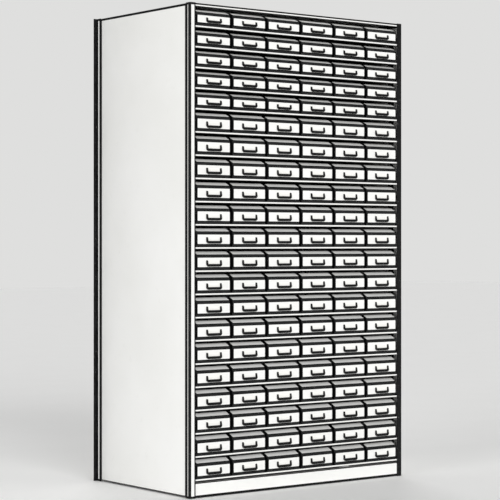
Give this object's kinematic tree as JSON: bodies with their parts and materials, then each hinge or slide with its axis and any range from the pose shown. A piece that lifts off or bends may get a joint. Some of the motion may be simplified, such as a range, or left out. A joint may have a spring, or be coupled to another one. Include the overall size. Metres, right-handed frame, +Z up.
{
  "type": "card catalog cabinet",
  "caption": "Tall enamelled steel cabinet with tiers of sliding hopper-fronted card trays on lipped shelves between angle posts.",
  "frame": {"origin": "on the floor, at the middle of the outline across and from front to back", "axes": "+Z up; +X to the right as seen by someone facing the drawers; -Y out of the front, the way the drawers slide"},
  "size_m": [1.27, 0.744, 2.134],
  "materials": {
    "cabinet_enamel": "satin baked enamel on folded sheet steel",
    "shelf_enamel": "satin baked enamel on folded sheet steel",
    "tray_enamel": "satin baked enamel on pressed sheet steel"
  },
  "bodies": {
    "cabinet": {"corner_post_front_left": "cabinet_enamel", "corner_post_front_right": "cabinet_enamel", "corner_post_rear_left": "cabinet_enamel", "corner_post_rear_right": "cabinet_enamel", "side_panel_left": "cabinet_enamel", "side_panel_right": "cabinet_enamel", "back_panel": "cabinet_enamel", "top_panel": "cabinet_enamel", "kick_plate": "cabinet_enamel", "shelf_rack_1": "shelf_enamel", "shelf_rack_2": "shelf_enamel", "shelf_rack_3": "shelf_enamel", "shelf_rack_4": "shelf_enamel", "shelf_rack_5": "shelf_enamel"},
    "drawer_row01_col1": {"drawer_row01_col1": "tray_enamel"},
    "drawer_row02_col1": {"drawer_row02_col1": "tray_enamel"},
    "drawer_row03_col1": {"drawer_row03_col1": "tray_enamel"},
    "drawer_row04_col1": {"drawer_row04_col1": "tray_enamel"},
    "drawer_row05_col1": {"drawer_row05_col1": "tray_enamel"},
    "drawer_row06_col1": {"drawer_row06_col1": "tray_enamel"},
    "drawer_row07_col1": {"drawer_row07_col1": "tray_enamel"},
    "drawer_row08_col1": {"drawer_row08_col1": "tray_enamel"},
    "drawer_row09_col1": {"drawer_row09_col1": "tray_enamel"},
    "drawer_row10_col1": {"drawer_row10_col1": "tray_enamel"},
    "drawer_row10_col2": {"drawer_row10_col2": "tray_enamel"},
    "drawer_row10_col3": {"drawer_row10_col3": "tray_enamel"},
    "drawer_row10_col4": {"drawer_row10_col4": "tray_enamel"},
    "drawer_row10_col5": {"drawer_row10_col5": "tray_enamel"},
    "drawer_row10_col6": {"drawer_row10_col6": "tray_enamel"},
    "drawer_row11_col1": {"drawer_row11_col1": "tray_enamel"},
    "drawer_row12_col1": {"drawer_row12_col1": "tray_enamel"},
    "drawer_row13_col1": {"drawer_row13_col1": "tray_enamel"},
    "drawer_row14_col1": {"drawer_row14_col1": "tray_enamel"},
    "drawer_row15_col1": {"drawer_row15_col1": "tray_enamel"},
    "drawer_row16_col1": {"drawer_row16_col1": "tray_enamel"},
    "drawer_row17_col1": {"drawer_row17_col1": "tray_enamel"},
    "drawer_row18_col1": {"drawer_row18_col1": "tray_enamel"},
    "drawer_row19_col1": {"drawer_row19_col1": "tray_enamel"},
    "drawer_row20_col1": {"drawer_row20_col1": "tray_enamel"},
    "drawer_row21_col1": {"drawer_row21_col1": "tray_enamel"},
    "drawers_row01_cols2to6": {"drawers_row01_cols2to6": "tray_enamel"},
    "drawers_row02_cols2to6": {"drawers_row02_cols2to6": "tray_enamel"},
    "drawers_row03_cols2to6": {"drawers_row03_cols2to6": "tray_enamel"},
    "drawers_row04_cols2to6": {"drawers_row04_cols2to6": "tray_enamel"},
    "drawers_row05_cols2to6": {"drawers_row05_cols2to6": "tray_enamel"},
    "drawers_row06_cols2to6": {"drawers_row06_cols2to6": "tray_enamel"},
    "drawers_row07_cols2to6": {"drawers_row07_cols2to6": "tray_enamel"},
    "drawers_row08_cols2to6": {"drawers_row08_cols2to6": "tray_enamel"},
    "drawers_row09_cols2to6": {"drawers_row09_cols2to6": "tray_enamel"},
    "drawers_row11_cols2to6": {"drawers_row11_cols2to6": "tray_enamel"},
    "drawers_row12_cols2to6": {"drawers_row12_cols2to6": "tray_enamel"},
    "drawers_row13_cols2to6": {"drawers_row13_cols2to6": "tray_enamel"},
    "drawers_row14_cols2to6": {"drawers_row14_cols2to6": "tray_enamel"},
    "drawers_row15_cols2to6": {"drawers_row15_cols2to6": "tray_enamel"},
    "drawers_row16_cols2to6": {"drawers_row16_cols2to6": "tray_enamel"},
    "drawers_row17_cols2to6": {"drawers_row17_cols2to6": "tray_enamel"},
    "drawers_row18_cols2to6": {"drawers_row18_cols2to6": "tray_enamel"},
    "drawers_row19_cols2to6": {"drawers_row19_cols2to6": "tray_enamel"},
    "drawers_row20_cols2to6": {"drawers_row20_cols2to6": "tray_enamel"},
    "drawers_row21_cols2to6": {"drawers_row21_cols2to6": "tray_enamel"}
  },
  "joints": [
    {"name": "drawer_row01_col1_slide", "type": "slide", "parent": "cabinet", "child": "drawer_row01_col1", "axis": [0, -1, 0], "range_m": [0, 0.56]},
    {"name": "drawer_row02_col1_slide", "type": "slide", "parent": "cabinet", "child": "drawer_row02_col1", "axis": [0, -1, 0], "range_m": [0, 0.56]},
    {"name": "drawer_row03_col1_slide", "type": "slide", "parent": "cabinet", "child": "drawer_row03_col1", "axis": [0, -1, 0], "range_m": [0, 0.56]},
    {"name": "drawer_row04_col1_slide", "type": "slide", "parent": "cabinet", "child": "drawer_row04_col1", "axis": [0, -1, 0], "range_m": [0, 0.56]},
    {"name": "drawer_row05_col1_slide", "type": "slide", "parent": "cabinet", "child": "drawer_row05_col1", "axis": [0, -1, 0], "range_m": [0, 0.56]},
    {"name": "drawer_row06_col1_slide", "type": "slide", "parent": "cabinet", "child": "drawer_row06_col1", "axis": [0, -1, 0], "range_m": [0, 0.56]},
    {"name": "drawer_row07_col1_slide", "type": "slide", "parent": "cabinet", "child": "drawer_row07_col1", "axis": [0, -1, 0], "range_m": [0, 0.56]},
    {"name": "drawer_row08_col1_slide", "type": "slide", "parent": "cabinet", "child": "drawer_row08_col1", "axis": [0, -1, 0], "range_m": [0, 0.56]},
    {"name": "drawer_row09_col1_slide", "type": "slide", "parent": "cabinet", "child": "drawer_row09_col1", "axis": [0, -1, 0], "range_m": [0, 0.56]},
    {"name": "drawer_row10_col1_slide", "type": "slide", "parent": "cabinet", "child": "drawer_row10_col1", "axis": [0, -1, 0], "range_m": [0, 0.56]},
    {"name": "drawer_row10_col2_slide", "type": "slide", "parent": "cabinet", "child": "drawer_row10_col2", "axis": [0, -1, 0], "range_m": [0, 0.56]},
    {"name": "drawer_row10_col3_slide", "type": "slide", "parent": "cabinet", "child": "drawer_row10_col3", "axis": [0, -1, 0], "range_m": [0, 0.56]},
    {"name": "drawer_row10_col4_slide", "type": "slide", "parent": "cabinet", "child": "drawer_row10_col4", "axis": [0, -1, 0], "range_m": [0, 0.56]},
    {"name": "drawer_row10_col5_slide", "type": "slide", "parent": "cabinet", "child": "drawer_row10_col5", "axis": [0, -1, 0], "range_m": [0, 0.56]},
    {"name": "drawer_row10_col6_slide", "type": "slide", "parent": "cabinet", "child": "drawer_row10_col6", "axis": [0, -1, 0], "range_m": [0, 0.56]},
    {"name": "drawer_row11_col1_slide", "type": "slide", "parent": "cabinet", "child": "drawer_row11_col1", "axis": [0, -1, 0], "range_m": [0, 0.56]},
    {"name": "drawer_row12_col1_slide", "type": "slide", "parent": "cabinet", "child": "drawer_row12_col1", "axis": [0, -1, 0], "range_m": [0, 0.56]},
    {"name": "drawer_row13_col1_slide", "type": "slide", "parent": "cabinet", "child": "drawer_row13_col1", "axis": [0, -1, 0], "range_m": [0, 0.56]},
    {"name": "drawer_row14_col1_slide", "type": "slide", "parent": "cabinet", "child": "drawer_row14_col1", "axis": [0, -1, 0], "range_m": [0, 0.56]},
    {"name": "drawer_row15_col1_slide", "type": "slide", "parent": "cabinet", "child": "drawer_row15_col1", "axis": [0, -1, 0], "range_m": [0, 0.56]},
    {"name": "drawer_row16_col1_slide", "type": "slide", "parent": "cabinet", "child": "drawer_row16_col1", "axis": [0, -1, 0], "range_m": [0, 0.56]},
    {"name": "drawer_row17_col1_slide", "type": "slide", "parent": "cabinet", "child": "drawer_row17_col1", "axis": [0, -1, 0], "range_m": [0, 0.56]},
    {"name": "drawer_row18_col1_slide", "type": "slide", "parent": "cabinet", "child": "drawer_row18_col1", "axis": [0, -1, 0], "range_m": [0, 0.56]},
    {"name": "drawer_row19_col1_slide", "type": "slide", "parent": "cabinet", "child": "drawer_row19_col1", "axis": [0, -1, 0], "range_m": [0, 0.56]},
    {"name": "drawer_row20_col1_slide", "type": "slide", "parent": "cabinet", "child": "drawer_row20_col1", "axis": [0, -1, 0], "range_m": [0, 0.56]},
    {"name": "drawer_row21_col1_slide", "type": "slide", "parent": "cabinet", "child": "drawer_row21_col1", "axis": [0, -1, 0], "range_m": [0, 0.56]},
    {"name": "drawers_row01_cols2to6_slide", "type": "slide", "parent": "cabinet", "child": "drawers_row01_cols2to6", "axis": [0, -1, 0], "range_m": [0, 0.56]},
    {"name": "drawers_row02_cols2to6_slide", "type": "slide", "parent": "cabinet", "child": "drawers_row02_cols2to6", "axis": [0, -1, 0], "range_m": [0, 0.56]},
    {"name": "drawers_row03_cols2to6_slide", "type": "slide", "parent": "cabinet", "child": "drawers_row03_cols2to6", "axis": [0, -1, 0], "range_m": [0, 0.56]},
    {"name": "drawers_row04_cols2to6_slide", "type": "slide", "parent": "cabinet", "child": "drawers_row04_cols2to6", "axis": [0, -1, 0], "range_m": [0, 0.56]},
    {"name": "drawers_row05_cols2to6_slide", "type": "slide", "parent": "cabinet", "child": "drawers_row05_cols2to6", "axis": [0, -1, 0], "range_m": [0, 0.56]},
    {"name": "drawers_row06_cols2to6_slide", "type": "slide", "parent": "cabinet", "child": "drawers_row06_cols2to6", "axis": [0, -1, 0], "range_m": [0, 0.56]},
    {"name": "drawers_row07_cols2to6_slide", "type": "slide", "parent": "cabinet", "child": "drawers_row07_cols2to6", "axis": [0, -1, 0], "range_m": [0, 0.56]},
    {"name": "drawers_row08_cols2to6_slide", "type": "slide", "parent": "cabinet", "child": "drawers_row08_cols2to6", "axis": [0, -1, 0], "range_m": [0, 0.56]},
    {"name": "drawers_row09_cols2to6_slide", "type": "slide", "parent": "cabinet", "child": "drawers_row09_cols2to6", "axis": [0, -1, 0], "range_m": [0, 0.56]},
    {"name": "drawers_row11_cols2to6_slide", "type": "slide", "parent": "cabinet", "child": "drawers_row11_cols2to6", "axis": [0, -1, 0], "range_m": [0, 0.56]},
    {"name": "drawers_row12_cols2to6_slide", "type": "slide", "parent": "cabinet", "child": "drawers_row12_cols2to6", "axis": [0, -1, 0], "range_m": [0, 0.56]},
    {"name": "drawers_row13_cols2to6_slide", "type": "slide", "parent": "cabinet", "child": "drawers_row13_cols2to6", "axis": [0, -1, 0], "range_m": [0, 0.56]},
    {"name": "drawers_row14_cols2to6_slide", "type": "slide", "parent": "cabinet", "child": "drawers_row14_cols2to6", "axis": [0, -1, 0], "range_m": [0, 0.56]},
    {"name": "drawers_row15_cols2to6_slide", "type": "slide", "parent": "cabinet", "child": "drawers_row15_cols2to6", "axis": [0, -1, 0], "range_m": [0, 0.56]},
    {"name": "drawers_row16_cols2to6_slide", "type": "slide", "parent": "cabinet", "child": "drawers_row16_cols2to6", "axis": [0, -1, 0], "range_m": [0, 0.56]},
    {"name": "drawers_row17_cols2to6_slide", "type": "slide", "parent": "cabinet", "child": "drawers_row17_cols2to6", "axis": [0, -1, 0], "range_m": [0, 0.56]},
    {"name": "drawers_row18_cols2to6_slide", "type": "slide", "parent": "cabinet", "child": "drawers_row18_cols2to6", "axis": [0, -1, 0], "range_m": [0, 0.56]},
    {"name": "drawers_row19_cols2to6_slide", "type": "slide", "parent": "cabinet", "child": "drawers_row19_cols2to6", "axis": [0, -1, 0], "range_m": [0, 0.56]},
    {"name": "drawers_row20_cols2to6_slide", "type": "slide", "parent": "cabinet", "child": "drawers_row20_cols2to6", "axis": [0, -1, 0], "range_m": [0, 0.56]},
    {"name": "drawers_row21_cols2to6_slide", "type": "slide", "parent": "cabinet", "child": "drawers_row21_cols2to6", "axis": [0, -1, 0], "range_m": [0, 0.56]}
  ]
}
